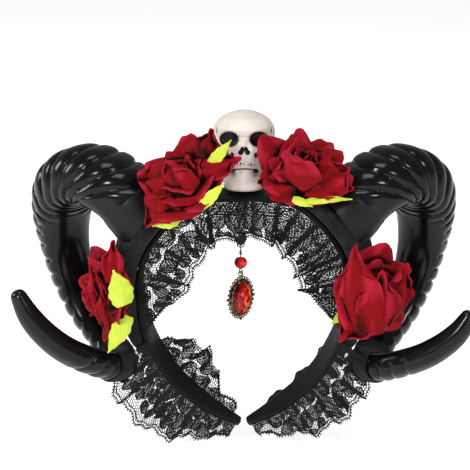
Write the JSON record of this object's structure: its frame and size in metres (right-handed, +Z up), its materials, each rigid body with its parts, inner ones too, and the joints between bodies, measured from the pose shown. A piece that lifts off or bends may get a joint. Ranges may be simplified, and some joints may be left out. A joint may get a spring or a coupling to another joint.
{
  "type": "ram horns headband",
  "caption": "Costume headband: covered hoop with curled ram horns, velvet roses, a small skull, gathered lace and a jewelled drop.",
  "frame": {"origin": "underside of the hoop at its top, where it sits on the head", "axes": "+X to the right of someone who faces the object, -Y towards that viewer (the side with the skull's face), +Z up"},
  "size_m": [0.2742, 0.1096, 0.2091],
  "materials": {
    "band_fabric": "satin-covered strip",
    "felt": "matt felt under open net",
    "horn": "glossy moulded",
    "skull": "cast resin with a dark wash",
    "rose_velvet": "velvet",
    "leaf_cloth": "smooth woven",
    "lace": "net lace",
    "bronze": "aged",
    "bead_glass": "polished facets",
    "stone_glass": "polished facets"
  },
  "bodies": {
    "headband": {"band": "band_fabric", "felt_pad_left": "felt", "felt_pad_right": "felt", "horn_left": "horn", "horn_right": "horn", "horn_cuff_left": "felt", "horn_cuff_right": "felt", "horn_wrap_left": "felt", "horn_wrap_right": "felt", "skull": "skull", "rose_top_left": "rose_velvet", "rose_top_right": "rose_velvet", "rose_side_left": "rose_velvet", "rose_side_right": "rose_velvet", "leaf_top_left_1": "leaf_cloth", "leaf_top_left_2": "leaf_cloth", "leaf_top_left_3": "leaf_cloth", "leaf_top_right_1": "leaf_cloth", "leaf_top_right_2": "leaf_cloth", "leaf_side_left_1": "leaf_cloth", "leaf_side_left_2": "leaf_cloth", "leaf_side_right_1": "leaf_cloth", "leaf_side_right_2": "leaf_cloth", "lace_top": "lace", "lace_lower_left": "lace", "lace_lower_right": "lace", "lace_back_left": "lace", "lace_back_right": "lace", "drop_loop": "lace"},
    "drop_wire": {"eye_pin": "bronze", "bead": "bead_glass"},
    "drop": {"setting": "bronze", "stone": "stone_glass"}
  },
  "joints": [
    {"name": "wire_swing", "type": "hinge", "parent": "headband", "child": "drop_wire", "pos_m": [-0.002, -0.0168, -0.0262], "axis": [1, 0, 0], "range_deg": [-50, 50]},
    {"name": "drop_swing", "type": "hinge", "parent": "drop_wire", "child": "drop", "pos_m": [-0.002, -0.0168, -0.0426], "axis": [0.5736, -0.8192, 0], "range_deg": [-35, 35]}
  ]
}
